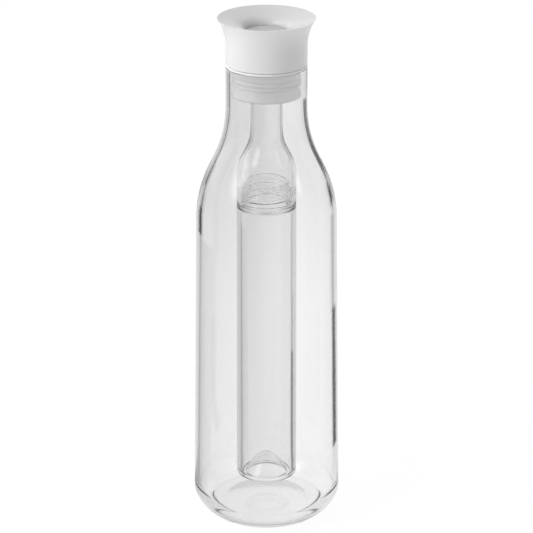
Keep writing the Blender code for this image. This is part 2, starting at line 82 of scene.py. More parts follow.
HEEL_POWER = 1.5           # an ellipse has 2, a chamfer 1
SHARP = math.radians(32)   # faces that meet at more than this keep their edge
FLOOR_RADIUS = 12.0        # metres
PAPER_SCATTER = 0.08       # of the paper's colour; the rest of its light is its glow


def cad(node):
    """A CAD node's radius, bottom and top in millimetres."""
    low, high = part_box(node)
    return high.x / MM, low.z / MM, high.z / MM


GLASS_RADIUS, _, GLASS_TOP = cad("glass_body")
RIM_RADIUS, COLLAR_BOTTOM, RIM_TOP = cad("pouring_collar")
FLANGE_RADIUS, SLEEVE_BOTTOM, SLEEVE_TOP = cad("lid_insert")
SEAL_RADIUS, SEAL_BOTTOM, SEAL_TOP = cad("neck_seal")
DISC_RADIUS, STEM_BOTTOM, DISC_TOP = cad("valve_disc")
_, RING_BOTTOM, RING_TOP = cad("core_neck_ring")
_, CLIP_BOTTOM, CLIP_TOP = cad("stem_clip")
_, GASKET_BOTTOM, GASKET_TOP = cad("valve_gasket")
_, _, CORE_TOP = cad("core_cap")
PLUG_RADIUS, PLUG_BOTTOM, PLUG_TOP = cad("core_plug")
_, CORE_GASKET_BOTTOM, CORE_GASKET_TOP = cad("core_gasket")
TUBE_RADIUS, TUBE_BOTTOM, TUBE_TOP = cad("core_tube")


def srgb(code):
    """Linear colour of an sRGB hex code."""
    values = [int(code[i:i + 2], 16) / 255 for i in (0, 2, 4)]
    return tuple(value / 12.92 if value <= 0.04045 else ((value + 0.055) / 1.055) ** 2.4
                 for value in values)


def number(name, description, default, **kind):
    return FloatProperty(name=name, description=description, default=default, **kind)


def length(name, description, millimetres):
    return number(name, description, millimetres * MM, unit="LENGTH", precision=5)


def angle(name, description, degrees):
    return number(name, description, math.radians(degrees), subtype="ANGLE")


def share(name, description, default):
    return number(name, description, default, subtype="FACTOR", min=0.0, soft_max=1.0)


def whole(name, description, default):
    return IntProperty(name=name, description=description, default=default, min=1)


def colour(name, description, code):
    return FloatVectorProperty(name=name, description=description, default=srgb(code),
                               subtype="COLOR", min=0.0, max=1.0)


class CarafeGlassSizes(bpy.types.PropertyGroup):
    """Sizes of the glass bottle."""
    neck_radius: length("Neck radius", "Outside of the neck", 24.1)
    neck_wall: length("Neck wall", "Thickness of the glass in the neck", 3.1)
    lip_round: length("Lip rounding", "Fire-polished rounding of the lip", 0.2)
    shoulder_top: length("Shoulder top", "Height where the neck starts to widen", 265.5)
    shoulder_bottom: length("Shoulder bottom", "Height where the shoulder ends", 189.5)
    body_taper: length("Body taper", "How much slimmer the body is at the shoulder", 2.7)
    body_wall: length("Body wall", "Thickness of the glass in the body", 3.0)
    heel_width: length("Heel width", "Rounding of the heel, across", 14.0)
    heel_height: length("Heel height", "Rounding of the heel, up", 15.0)
    inner_heel_width: length("Inner heel width", "Rounding inside the heel, across", 8.8)
    inner_heel_height: length("Inner heel height", "Rounding inside the heel, up", 16.0)
    floor_thickness: length("Floor thickness", "Glass under the edge of the floor", 5.5)
    floor_dome: length("Floor dome", "Rise of the floor in the middle", 5.5)
    bearing_width: length("Bearing width", "Flat ring that the carafe stands on", 5.0)
    punt_depth: length("Punt depth", "Hollow under the base", 4.0)


class CarafeLidSizes(bpy.types.PropertyGroup):
    """Sizes of the collar, its insert, the neck seal and the valve."""
    collar_wall: length("Collar wall", "Thickness of the white collar", 2.0)
    flare_height: length("Flare height", "Flared part of the collar", 16.5)
    rim_edge: length("Rim edge", "Thickness of the fine edge of the rim", 0.4)
    funnel_depth: length("Funnel depth", "From the rim down to the valve disc", 8.3)
    rim_slope: angle("Rim slope", "Fall of the funnel at the rim", 19.0)
    throat_radius: length("Throat radius", "Bore above the valve", 13.4)
    throat_tube: length("Throat tube", "Tube under the valve disc's top", 11.2)
    seat_width: length("Seat width", "Ledge that the valve rests on", 2.2)
    hub_bore: length("Hub bore", "Socket of the core's neck", 9.8)
    hub_wall: length("Hub wall", "Thickness of the hub", 1.2)
    sleeve_bore: length("Sleeve bore", "Water passage around the hub", 15.5)
    sleeve_wall: length("Sleeve wall", "Thickness of the sleeve", 2.0)
    flange: length("Flange", "Thickness of the insert's flange", 1.6)
    spokes: whole("Spokes", "Webs between hub and sleeve", 4)
    spoke_thickness: length("Spoke thickness", "Thickness of a web", 1.6)
    spoke_height: length("Spoke height", "Height of a web", 12.0)
    seal_bore: length("Seal bore", "Bore of the neck seal", 17.8)
    seal_body: length("Seal body", "Wall of the seal between its fins", 1.4)
    seal_depth: length("Seal depth", "Wall of the seal with its fins", 2.9)
    seal_flange: length("Seal flange", "Thickness on the glass lip", 1.4)
    skirt: length("Skirt height", "Plain lower part of the seal", 7.4)
    fins: whole("Fins", "Sealing lips above the skirt", 2)
    fin_pitch: length("Fin pitch", "Distance between fins", 2.6)
    fin_edge: length("Fin edge", "Thickness of a fin's edge", 0.8)
    disc_edge: length("Disc edge", "Thickness of the valve disc at its edge", 1.0)
    disc_dish: length("Disc dish", "Hollow of the disc's upper face", 0.5)
    boss_radius: length("Boss radius", "Boss under the disc", 10.3)
    boss_height: length("Boss height", "Boss under the disc", 2.4)
    stem_radius: length("Stem radius", "Stem of the valve", 2.0)


class CarafeCoreSizes(bpy.types.PropertyGroup):
    """Sizes of the cooling core."""
    neck_radius: length("Neck radius", "Neck of the cap", 9.5)
    neck_wall: length("Neck wall", "Thickness of the cap's neck", 2.2)
    neck_length: length("Neck length", "Straight part of the cap's neck", 32.0)
    flare_height: length("Shoulder height", "Bottle-like shoulder of the cap", 31.0)
    cap_wall: length("Cap wall", "Thickness of the cap's skirt", 3.0)
    cap_drop: length("Cap drop", "From the outer to the inner side of the shoulder", 1.1)
    top_radius: length("Tube top radius", "Tube at its rim", 17.9)
    tube_wall: length("Tube wall", "Thickness of the tube", 3.0)
    tube_neck_wall: length("Tube neck wall", "Threaded neck of the tube", 1.8)
    tube_slope: length("Inner slope", "From the neck's bore down to the tube's", 3.0)
    tube_floor: length("Tube floor", "Thickness of the tube's floor", 2.0)
    tube_edge: length("Tube edge", "Rounding of the tube's lower edge", 2.0)
    foot_width: length("Foot width", "Flat ring under the tube", 3.4)
    kick_up: length("Kick-up", "Height of the cone in the tube's floor", 12.0)
    pitch: length("Thread pitch", "Distance between turns", 2.0)
    thread_depth: length("Thread depth", "Height of the ridge", 0.9)
    thread_base: length("Thread base", "Width of the ridge at its foot", 1.0)
    thread_crest: length("Thread crest", "Width of the ridge at its top", 0.4)
    thread_clearance: length("Thread clearance", "Between crest and root", 0.35)
    male_turns: whole("Turns of the tube", "Thread on its neck", 5)
    female_turns: whole("Turns of the cap", "Thread in its skirt", 3)


class CarafeColours(bpy.types.PropertyGroup):
    """Colours of the materials."""
    glass: colour("Glass", "Tint that long ways through the glass take", "C4C4C4")
    core: colour("Core", "Tint of the core's clear plastic", "C8C8C8")
    collar: colour("Collar", "Glossy white collar", "E1E1E1")
    insert: colour("Insert", "Milky plastic of the insert", "EAEAE8")
    silicone: colour("Silicone", "Translucent seals", "F8F8F7")
    disc: colour("Disc", "Light grey valve disc", "C4C4C6")
    floor: colour("Floor", "Pale floor", "FAFAFA")


class CarafeStageSettings(bpy.types.PropertyGroup):
    """Camera and light."""
    lens: number("Lens", "Focal length on a 36 mm sensor", 163.5, unit="CAMERA")
    distance: length("Camera distance", "From the aimed point to the camera", 1466.0)
    elevation: angle("Elevation", "Camera above the horizon", 21.235)
    aim: length("Aimed height", "Point of the axis in the middle of the picture", 160.5)
    sweep: share("White sweep", "Light from behind and above", 0.95)
    room: share("Room", "Light from the dim room in front", 0.1)
    room_in_glass: share("Room in glass", "What clear pieces show of the room in front",
                         0.85)
    softbox: number("Softbox", "Brightness of the middle of a softbox", 1.6)
    highlights: share("Highlights", "What glossy pieces mirror of the softboxes", 0.35)
    key: number("Key light", "Power of the left softbox", 24.0, unit="POWER")
    fill: number("Fill light", "Power of the right softbox", 4.0, unit="POWER")
    floor_glow: share("Floor glow", "Light from the lit floor", 1.0)
    floor_mirrored: share("Mirrored floor", "What reflections show of the floor's glow",
                          0.8)


def in_mm(sizes):
    """The group's values by name, lengths in millimetres."""
    values = {}
    for prop in sizes.bl_rna.properties:
        if prop.identifier not in ("name", "rna_type"):
            value = getattr(sizes, prop.identifier)
            values[prop.identifier] = value / MM if prop.unit == "LENGTH" else value
    return SimpleNamespace(**values)


# Node trees

MATH = "ShaderNodeMath"
VECTOR_MATH = "ShaderNodeVectorMath"
MAP_RANGE = "ShaderNodeMapRange"


def add_node(tree, kind, inputs=(), **settings):
    """Add a node. Its inputs, by name or in order, take plain values, sockets, or nodes,
    which give their first output."""
    node = tree.nodes.new(kind)
    for key, value in settings.items():
        setattr(node, key, value)
    for key, value in inputs.items() if isinstance(inputs, dict) else enumerate(inputs):
        if isinstance(value, bpy.types.Node):
            value = value.outputs[0]
        if isinstance(value, bpy.types.NodeSocket):
            tree.links.new(value, node.inputs[key])
        else:
            node.inputs[key].default_value = value
    return node


def new_tree(name, sockets):
    """Geometry Nodes tree with named inputs; the first one is its geometry."""
    tree = bpy.data.node_groups.new(name, "GeometryNodeTree")
    tree.is_modifier = True
    for label, kind in sockets:
        tree.interface.new_socket(label, in_out="INPUT", socket_type="NodeSocket" + kind)
    tree.interface.new_socket("Geometry", in_out="OUTPUT", socket_type="NodeSocketGeometry")
    return tree, add_node(tree, "NodeGroupInput").outputs


def end_tree(tree, geometry, material):
    """Realize Instances, Set Material and the output."""
    real = add_node(tree, "GeometryNodeRealizeInstances", {"Geometry": geometry})
    painted = add_node(tree, "GeometryNodeSetMaterial",
                       {"Geometry": real, "Material": material})
    add_node(tree, "NodeGroupOutput", {"Geometry": painted})
    return tree


def turning_tree():
    """Turns a line of points in the XZ plane about Z, with closed seam and poles."""
    tree, given = new_tree("Turned piece", (("Outline", "Geometry"), ("Segments", "Int"),
                                            ("Material", "Material")))
    segments = given["Segments"]
    points = add_node(tree, "GeometryNodeAttributeDomainSize",
                      {"Geometry": given["Outline"]}).outputs["Point Count"]
    columns = add_node(tree, MATH, (segments, 1.0))
    grid = add_node(tree, "GeometryNodeMeshGrid",
                    {"Vertices X": columns, "Vertices Y": points})
    index = add_node(tree, "GeometryNodeInputIndex")
    row = add_node(tree, MATH, (index, points), operation="MODULO")
    passed = add_node(tree, MATH, (index, points), operation="DIVIDE")
    column = add_node(tree, MATH, (passed,), operation="FLOOR")
    turns = add_node(tree, MATH, (column, segments), operation="DIVIDE")
    turned_by = add_node(tree, MATH, (turns, 2 * math.pi), operation="MULTIPLY")
    place = add_node(tree, "GeometryNodeInputPosition")
    sample = add_node(tree, "GeometryNodeSampleIndex",
                      {"Geometry": given["Outline"], "Value": place, "Index": row},
                      data_type="FLOAT_VECTOR")
    around = add_node(tree, "ShaderNodeVectorRotate",
                      {"Vector": sample, "Angle": turned_by}, rotation_type="Z_AXIS")
    moved = add_node(tree, "GeometryNodeSetPosition",
                     {"Geometry": grid, "Position": around})
    merged = add_node(tree, "GeometryNodeMergeByDistance",
                      {"Geometry": moved, "Distance": SAME_PLACE})
    return end_tree(tree, merged, given["Material"])


def thread_tree():
    """Raises a right-handed helical ridge on a turned wall of the given radius."""
    tree, given = new_tree("Screw thread", (
        ("Piece", "Geometry"), ("Wall Radius", "Float"), ("Ridge Height", "Float"),
        ("Pitch", "Float"), ("Start", "Float"), ("Turns", "Float"), ("Run-out", "Float"),
        ("Base Width", "Float"), ("Crest Width", "Float"), ("Material", "Material")))
    place = add_node(tree, "GeometryNodeInputPosition")
    x, y, z = add_node(tree, "ShaderNodeSeparateXYZ", (place,)).outputs
    level = add_node(tree, "ShaderNodeCombineXYZ", (x, y))
    radius = add_node(tree, VECTOR_MATH, (level,), operation="LENGTH")
    outward = add_node(tree, VECTOR_MATH, (level,), operation="NORMALIZE")
    known = {"x": x, "y": y, "z": z, **{socket.name: socket for socket in given}}
    # In turns: along the helix that passes nearest to the point, and missed by that much
    for name, operation, *values in (
            ("azimuth", "ARCTAN2", "y", "x"), ("around", "DIVIDE", "azimuth", 2 * math.pi),
            ("above", "SUBTRACT", "z", "Start"), ("rise", "DIVIDE", "above", "Pitch"),
            ("unrolled", "SUBTRACT", "rise", "around"), ("turn", "ROUND", "unrolled"),
            ("along", "ADD", "turn", "around"), ("off", "SUBTRACT", "unrolled", "turn"),
            ("missed", "ABSOLUTE", "off"), ("aside", "MULTIPLY", "missed", "Pitch"),
            ("half crest", "MULTIPLY", "Crest Width", 0.5),
            ("half base", "MULTIPLY", "Base Width", 0.5),
            ("last", "SUBTRACT", "Turns", "Run-out")):
        known[name] = add_node(tree, MATH, [known.get(value, value) for value in values],
                               operation=operation)
    height = given["Ridge Height"]
    for ramp in (("aside", "half crest", "half base", 1.0, 0.0),
                 ("along", 0.0, "Run-out", 0.0, 1.0), ("along", "last", "Turns", 1.0, 0.0)):
        part = add_node(tree, MAP_RANGE, [known.get(value, value) for value in ramp],
                        interpolation_type="SMOOTHSTEP")
        height = add_node(tree, MATH, (height, part), operation="MULTIPLY")
    on_wall = add_node(tree, "FunctionNodeCompare",
                       {"A": radius.outputs["Value"], "B": given["Wall Radius"],
                        "Epsilon": 0.02 * MM}, data_type="FLOAT", operation="EQUAL")
    offset = add_node(tree, VECTOR_MATH, {0: outward, "Scale": height}, operation="SCALE")
    raised = add_node(tree, "GeometryNodeSetPosition",
                      {"Geometry": given["Piece"], "Selection": on_wall, "Offset": offset})
    return end_tree(tree, raised, given["Material"])


def spoke_tree():
    """Sets copies of one web round the axis."""
    tree, given = new_tree("Webs", (("Web", "Geometry"), ("Count", "Int"),
                                    ("First Angle", "Float"), ("Material", "Material")))
    places = add_node(tree, "GeometryNodeMeshLine",
                      {"Count": given["Count"], "Offset": (0.0, 0.0, 0.0)})
    index = add_node(tree, "GeometryNodeInputIndex")
    passed = add_node(tree, MATH, (index, given["Count"]), operation="DIVIDE")
    turned_by = add_node(tree, MATH, (passed, 2 * math.pi, given["First Angle"]),
                         operation="MULTIPLY_ADD")
    turn = add_node(tree, "ShaderNodeCombineXYZ", {"Z": turned_by})
    copies = add_node(tree, "GeometryNodeInstanceOnPoints",
                      {"Points": places, "Instance": given["Web"], "Rotation": turn})
    return end_tree(tree, copies, given["Material"])


def tree_named(name, build):
    return bpy.data.node_groups.get(name) or build()


def add_object(name, data):
    obj = bpy.data.objects.new(name, data)
    bpy.context.scene.collection.objects.link(obj)
    return obj


def grow(obj, tree, values):
    """Add the tree as a modifier, its inputs set by identifier."""
    modifier = obj.modifiers.new(tree.name, "NODES")
    modifier.node_group = tree
    for item in tree.interface.items_tree:
        if item.in_out == "INPUT" and item.name in values:
            modifier[item.identifier] = values[item.name]
    return obj


# Outlines

def bezier(start, start_handle, end_handle, end, steps=24):
    points = []
    for i in range(steps + 1):
        t = i / steps
        weights = ((1 - t) ** 3, 3 * t * (1 - t) ** 2, 3 * t * t * (1 - t), t ** 3)
        knots = (start, start_handle, end_handle, end)
        points.append(tuple(sum(w * p[k] for w, p in zip(weights, knots)) for k in (0, 1)))
    return points


def s_curve(top, bottom, steps=32):
    """Shoulder that leaves both ends parallel to the axis."""
    middle = (top[1] + bottom[1]) / 2
    return bezier(top, (top[0], middle), (bottom[0], middle), bottom, steps)


def quarter(center, width, height, start, end, power=2.0, steps=8):
    """Arc of a (super)ellipse about center, from angle start to end in degrees."""
    points = []
    for i in range(steps + 1):
        at = math.radians(start + (end - start) * i / steps)
        c, s = math.cos(at), math.sin(at)
        points.append((center[0] + width * math.copysign(abs(c) ** (2 / power), c),
                       center[1] + height * math.copysign(abs(s) ** (2 / power), s)))
    return points


def straight(start, end, steps):
    """Evenly spaced points from start to end."""
    return [(start[0] + (end[0] - start[0]) * i / steps,
             start[1] + (end[1] - start[1]) * i / steps) for i in range(steps + 1)]


def dome(radius, edge, middle, steps=16):
    """Parabola from the edge at that radius in to the axis, between the two heights."""
    return [(radius * i / steps, middle + (edge - middle) * (i / steps) ** 2)
            for i in range(steps, -1, -1)]


def rounded(corners, closed=True, steps=4):
    """Outline through corners (radius, height) or (radius, height, rounding)."""
    outline = []
    count = len(corners)
    for i, corner in enumerate(corners):
        here = corner[:2]
        if len(corner) == 2 or (not closed and i in (0, count - 1)):
            outline.append(here)
            continue
        ends = []
        for other in (corners[i - 1], corners[(i + 1) % count]):
            reach = math.dist(here, other[:2])
            part = min(corner[2] / reach, 0.45)
            ends.append((here[0] + (other[0] - here[0]) * part,
                         here[1] + (other[1] - here[1]) * part))
        for k in range(steps + 1):
            t = k / steps
            outline.append(tuple((1 - t) ** 2 * ends[0][a] + 2 * t * (1 - t) * here[a]
                                 + t * t * ends[1][a] for a in (0, 1)))
    return outline


def ring(inner, outer, bottom, top, inner_edge, outer_edge):
    """Rectangular section; the last two are the roundings of its edges."""
    return rounded([(outer, top, outer_edge), (outer, bottom, outer_edge),
                    (inner, bottom, inner_edge), (inner, top, inner_edge)])


# Pieces

def supported(points, gap=0.2):
    """Adds a point gap mm beside each rounding, which keeps the rounding's shading off
    the long straight wall next to it."""
    spans = [math.dist(a, b) for a, b in zip(points, points[1:])]
    closer = []
    for i, span in enumerate(spans):
        (r0, z0), (r1, z1) = points[i:i + 2]
        closer.append((r0, z0))
        for beside, part in ((i - 1, gap / span), (i + 1, 1 - gap / span)):
            if span > 4 * max(gap, spans[beside % len(spans)]):
                closer.append((r0 + (r1 - r0) * part, z0 + (z1 - z0) * part))
    return closer + points[-1:]


def turned(name, outline, material, segments=96, closed=True):
    """A turned piece. An open outline starts and ends on the axis."""
    points = supported(outline + outline[:1] if closed else outline)
    mesh = bpy.data.meshes.new(name)
    mesh.from_pydata([(r * MM, 0.0, z * MM) for r, z in points],
                     [(i, i + 1) for i in range(len(points) - 1)], [])
    return grow(add_object(name, mesh), tree_named("Turned piece", turning_tree),
                {"Segments": segments, "Material": material})


def threaded(obj, wall, height, start, turns, sizes, material):
    """Raise the thread on the wall of that radius; a negative height points inwards."""
    return grow(obj, tree_named("Screw thread", thread_tree), {
        "Wall Radius": wall * MM, "Ridge Height": height * MM, "Pitch": sizes.pitch * MM,
        "Start": start * MM, "Turns": float(turns), "Run-out": 0.3,
        "Base Width": sizes.thread_base * MM, "Crest Width": sizes.thread_crest * MM,
        "Material": material})


def plain(obj):
    """Replace the object's mesh and modifiers by the evaluated mesh, faces outwards."""
    depsgraph = bpy.context.evaluated_depsgraph_get()
    mesh = bpy.data.meshes.new_from_object(obj.evaluated_get(depsgraph))
    obj.modifiers.clear()
    obj.data = mesh
    shell = bmesh.new()
    shell.from_mesh(mesh)
    bmesh.ops.remove_doubles(shell, verts=shell.verts, dist=SAME_PLACE)
    bmesh.ops.recalc_face_normals(shell, faces=shell.faces)
    shell.to_mesh(mesh)
    shell.free()
    if not mesh.polygons:
        raise RuntimeError(obj.name + " has no faces")
    mesh.shade_smooth()
    mesh.set_sharp_from_angle(angle=SHARP)
    return obj


def stand_for(obj, node, body):
    """The finished piece takes the place of its CAD node on that body."""
    plain(obj)
    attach(obj, body)
    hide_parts(node)


# Materials

def new_material(name):
    """An empty material and its node tree."""
    material = bpy.data.materials.new(name)
    material.use_nodes = True
    material.node_tree.nodes.clear()
    return material, material.node_tree


def chosen(name):
    """The colour that the user chose."""
    return tuple(getattr(bpy.context.scene.carafe_colours, name))


def grain(tree, scale_mm, strength, distance_mm, along_z=1.0):
    """Bump from noise whose cells measure scale_mm, and scale_mm / along_z upwards."""
    place = add_node(tree, "ShaderNodeTexCoord").outputs["Object"]
    mapped = add_node(tree, "ShaderNodeMapping",
                      {"Vector": place, "Scale": (1.0, 1.0, along_z)})
    noise = add_node(tree, "ShaderNodeTexNoise",
                     {"Vector": mapped, "Scale": 1 / (scale_mm * MM), "Detail": 2.0})
    return add_node(tree, "ShaderNodeBump",
                    {"Height": noise.outputs["Fac"], "Strength": strength,
                     "Distance": distance_mm * MM})


def turned_rings(tree):
    """Bump from turning rings round the axis. Real ones are finer: these are 3.1 mm
    apart, as coarse as they need to be to show."""
    place = add_node(tree, "ShaderNodeTexCoord").outputs["Object"]
    rings = add_node(tree, "ShaderNodeTexWave",
                     {"Vector": place, "Scale": 100.0, "Distortion": 0.4},
                     wave_type="RINGS", rings_direction="Z")
    return add_node(tree, "ShaderNodeBump", {"Height": rings.outputs["Fac"],
                                             "Strength": 0.06, "Distance": 0.1 * MM})


def finish(name, paint, relief, inputs, tint=None, density=0.0):
    """Material with a principled surface, made once. Its relief is what grain() takes, or
    a function that adds a bump. A tint of that density, per metre, colours long ways
    through it."""
    if name in bpy.data.materials:
        return bpy.data.materials[name]
    material, tree = new_material(name)
    bump = relief(tree) if callable(relief) else grain(tree, *relief)
    ends = {"Surface": add_node(tree, "ShaderNodeBsdfPrincipled",
                                {"Base Color": (*paint, 1.0), "Normal": bump, **inputs})}
    if density:
        ends["Volume"] = add_node(tree, "ShaderNodeVolumeAbsorption",
                                  {"Color": (*tint, 1.0), "Density": density})
    add_node(tree, "ShaderNodeOutputMaterial", ends)
    return material


def blown_glass():
    """Soda-lime glass, blown in a mould and fire polished: clear, with a slow waviness,
    and a cold grey tint that only long ways through the wall show."""
    return finish("blown_soda_lime_glass", srgb("FAFAFA"), (26.0, 0.05, 1.0, 0.35),
                  {"Roughness": 0.0, "IOR": 1.5, "Transmission Weight": 1.0},
                  chosen("glass"), 10.0)


def clear_san():
    """Clear styrene-acrylonitrile, injection moulded and polished: a little greyer than
    glass and with faint flow marks."""
    return finish("clear_moulded_san", srgb("FBFBFB"), (14.0, 0.03, 1.0, 0.25),
                  {"Roughness": 0.01, "IOR": 1.55, "Transmission Weight": 1.0},
                  chosen("core"), 15.0)


def white_abs():
    """White ABS from a polished mould: glossy, with a slight orange peel and a little
    light under its skin."""
    return finish("polished_white_abs", chosen("collar"), (1.6, 0.04, 0.05),
                  {"Roughness": 0.22, "IOR": 1.53, "Subsurface Weight": 0.12,
                   "Subsurface Radius": (1.0, 1.0, 1.0), "Subsurface Scale": 0.8 * MM})


def grey_abs():
    """Light grey ABS, turned on its upper face: fine rings catch the light."""
    return finish("turned_grey_abs", chosen("disc"), turned_rings,
                  {"Roughness": 0.25, "IOR": 1.53})


def milky_pp():
    """Natural polypropylene, moulded: milky, satin, light goes into it."""
    return finish("natural_polypropylene", chosen("insert"), (0.8, 0.05, 0.05),
                  {"Roughness": 0.38, "IOR": 1.49, "Transmission Weight": 0.15,
                   "Subsurface Weight": 0.5, "Subsurface Radius": (1.0, 1.0, 1.0),
                   "Subsurface Scale": 2.0 * MM})


def silicone():
    """Translucent silicone rubber, moulded: whitish, satin, soft light through it."""
    return finish("translucent_silicone", chosen("silicone"), (1.2, 0.05, 0.05),
                  {"Roughness": 0.28, "IOR": 1.41, "Subsurface Weight": 1.0,
                   "Subsurface Radius": (1.0, 1.0, 1.0), "Subsurface Scale": 2.0 * MM})


def clear_silicone():
    """Clear liquid silicone rubber, injection moulded: the thin gasket nearly vanishes
    between the clear pieces."""
    return finish("clear_silicone", srgb("FAFAFA"), (1.2, 0.02, 0.05),
                  {"Roughness": 0.05, "IOR": 1.41, "Transmission Weight": 1.0})


# Painted shade and light on the floor, shown only where it is seen through glass: darker to
# the left and far behind, a little brighter to the right. (metres, share) at the left and
# right, and in front of and behind the carafe
FLOOR_PAINTED_SHADE_ACROSS = ((-0.09, 0.84), (0.06, 1.03))
FLOOR_PAINTED_SHADE_BACK = ((0.3, 1.0), (0.7, 0.86))


def matt_paper():
    """Pale seamless paper, evenly bright from its own glow, with a faint grain. Seen
    through glass it carries painted shade by place, and reflections show its glow dimmed, a
    painted darker reflection.
    """
    paint = chosen("floor")
    stage = bpy.context.scene.carafe_stage
    material, tree = new_material("seamless_pale_paper")
    path = add_node(tree, "ShaderNodeLightPath").outputs
    # Reflections show the floor's glow dimmed: a painted darker reflection
    glow = add_node(tree, MAP_RANGE,
                    (path["Glossy Depth"], 0.0, 1.0, stage.floor_glow,
                     stage.floor_glow * stage.floor_mirrored))
    place = add_node(tree, "ShaderNodeTexCoord").outputs["Object"]
    x, y, _ = add_node(tree, "ShaderNodeSeparateXYZ", (place,)).outputs
    # Painted shade and light by place, shown only through glass: darker to the left and far
    # behind
    painted_shades = [add_node(tree, MAP_RANGE, (axis, start, end, low, high),
                       interpolation_type="SMOOTHSTEP")
              for axis, ((start, low), (end, high)) in ((x, FLOOR_PAINTED_SHADE_ACROSS), (y, FLOOR_PAINTED_SHADE_BACK))]
    shade = add_node(tree, MATH, painted_shades, operation="MULTIPLY")
    seen = add_node(tree, MAP_RANGE, (path["Transmission Depth"], 0.0, 1.0, 1.0, shade))
    strength = add_node(tree, MATH, (glow, seen), operation="MULTIPLY")
    shader = add_node(tree, "ShaderNodeBsdfPrincipled", {
        "Base Color": (*(value * PAPER_SCATTER for value in paint), 1.0),
        "Roughness": 0.9, "Specular IOR Level": 0.0, "Emission Color": (*paint, 1.0),
        "Emission Strength": strength, "Normal": grain(tree, 2.0, 0.05, 0.1)})
    add_node(tree, "ShaderNodeOutputMaterial", {"Surface": shader})
    return material


def dark_card(name, bottle_share, core_share):
    """Black card that only shows in reflections, a painted dark reflection: it draws the
    dark lines along the edges of clear glass, and is clear to everything else. Light that
    comes back through more walls than the bottle's own shows it by the core's share."""
    bottle_walls = 3.0
    material, tree = new_material(name)
    path = add_node(tree, "ShaderNodeLightPath").outputs
    reflected = add_node(tree, MATH, (path["Glossy Depth"], 0.5), operation="GREATER_THAN")
    dark = add_node(tree, MAP_RANGE, (path["Transmission Depth"], bottle_walls,
                                      bottle_walls + 1.0, bottle_share, core_share))
    amount = add_node(tree, MATH, (reflected, dark), operation="MULTIPLY")
    # Painted dark reflection: the card's black, seen only by reflected rays
    painted_dark = add_node(tree, "ShaderNodeBsdfDiffuse", {"Color": (*srgb("1C1C1C"), 1.0)})
    air = add_node(tree, "ShaderNodeBsdfTransparent")
    shown = add_node(tree, "ShaderNodeMixShader", (amount, air, painted_dark))
    add_node(tree, "ShaderNodeOutputMaterial", {"Surface": shown})
    return material


# Outlines of the pieces

def glass_outline(s):
    """Outer side down, under the base, up the inner side, over the lip."""
    body = GLASS_RADIUS
    shoulder = body - s.body_taper
    bearing = body - s.heel_width
    bearing_inner = bearing - s.bearing_width
    corner = body - s.body_wall - s.inner_heel_width
    bore = s.neck_radius - s.neck_wall
    lip = GLASS_TOP - s.lip_round
    floor = s.floor_thickness + s.floor_dome
    outline = quarter((s.neck_radius - s.lip_round, lip), s.lip_round, s.lip_round, 90, 0)
    outline += s_curve((s.neck_radius, s.shoulder_top), (shoulder, s.shoulder_bottom), 48)
    outline += quarter((bearing, s.heel_height), s.heel_width, s.heel_height, 0, -90,
                       HEEL_POWER, 28)
    outline += dome(bearing_inner, 0.0, s.punt_depth)
    heel = quarter((corner, s.floor_thickness + s.inner_heel_height),
                   s.inner_heel_width, s.inner_heel_height, -80, 0, steps=20)
    outline += dome(*heel[0], floor)[:0:-1]
    outline += heel
    outline += reversed(s_curve((bore, s.shoulder_top),
                                (shoulder - s.body_wall, s.shoulder_bottom), 48))
    outline += quarter((bore + s.lip_round, lip), s.lip_round, s.lip_round, 180, 90)
    return outline


def collar_outline(s):
    """Flared outside, hollow underside, throat tube, valve seat and trumpet funnel."""
    neck = FLANGE_RADIUS + GAP + s.collar_wall
    flare_width = RIM_RADIUS - neck
    bend = (s.flare_height ** 2 + flare_width ** 2) / (2 * flare_width)
    sweep = math.degrees(math.asin(s.flare_height / bend))
    center = (neck + bend, RIM_TOP - s.flare_height)
    rim = RIM_RADIUS - s.rim_edge
    held = 0.6             # share over which the funnel keeps the direction of an end
    reach = held * (rim - s.throat_radius)
    funnel = bezier((s.throat_radius, DISC_TOP),
                    (s.throat_radius, DISC_TOP + held * s.funnel_depth),
                    (rim - reach, RIM_TOP - reach * math.tan(s.rim_slope)),
                    (rim, RIM_TOP), 28)
    outer = quarter(center, bend, bend, 180 - sweep, 180, steps=24)
    under = quarter(center, bend + s.collar_wall, bend, 180, 180 - sweep / 2, steps=10)
    throat = s.sleeve_bore - GAP
    throat_bottom = DISC_TOP - s.throat_tube
    seat = GASKET_BOTTOM - GAP
    ledge = seat - SEAT_THICKNESS
    bore = s.throat_radius - s.seat_width
    outline = [(rim + s.rim_edge / 2, RIM_TOP)] + outer
    outline += rounded([(neck, COLLAR_BOTTOM + 2.0), (neck, COLLAR_BOTTOM, 0.35),
                        (neck - s.collar_wall, COLLAR_BOTTOM, 0.35),
                        (neck - s.collar_wall, COLLAR_BOTTOM + 2.0)], closed=False)
    outline += under
    across, up = FUNNEL_WALL
    outline += [(r + across, z - up) for r, z in funnel[18:5:-2]]
    outline += rounded([(throat, DISC_TOP - 1.0), (throat, throat_bottom, 0.4),
                        (s.throat_radius, throat_bottom, 0.4),
                        (s.throat_radius, ledge, 0.3), (bore, ledge, 0.3),
                        (bore, seat, 0.3), (s.throat_radius, seat, 0.2),
                        (s.throat_radius, DISC_TOP)], closed=False)
    outline += funnel[1:]
    return outline


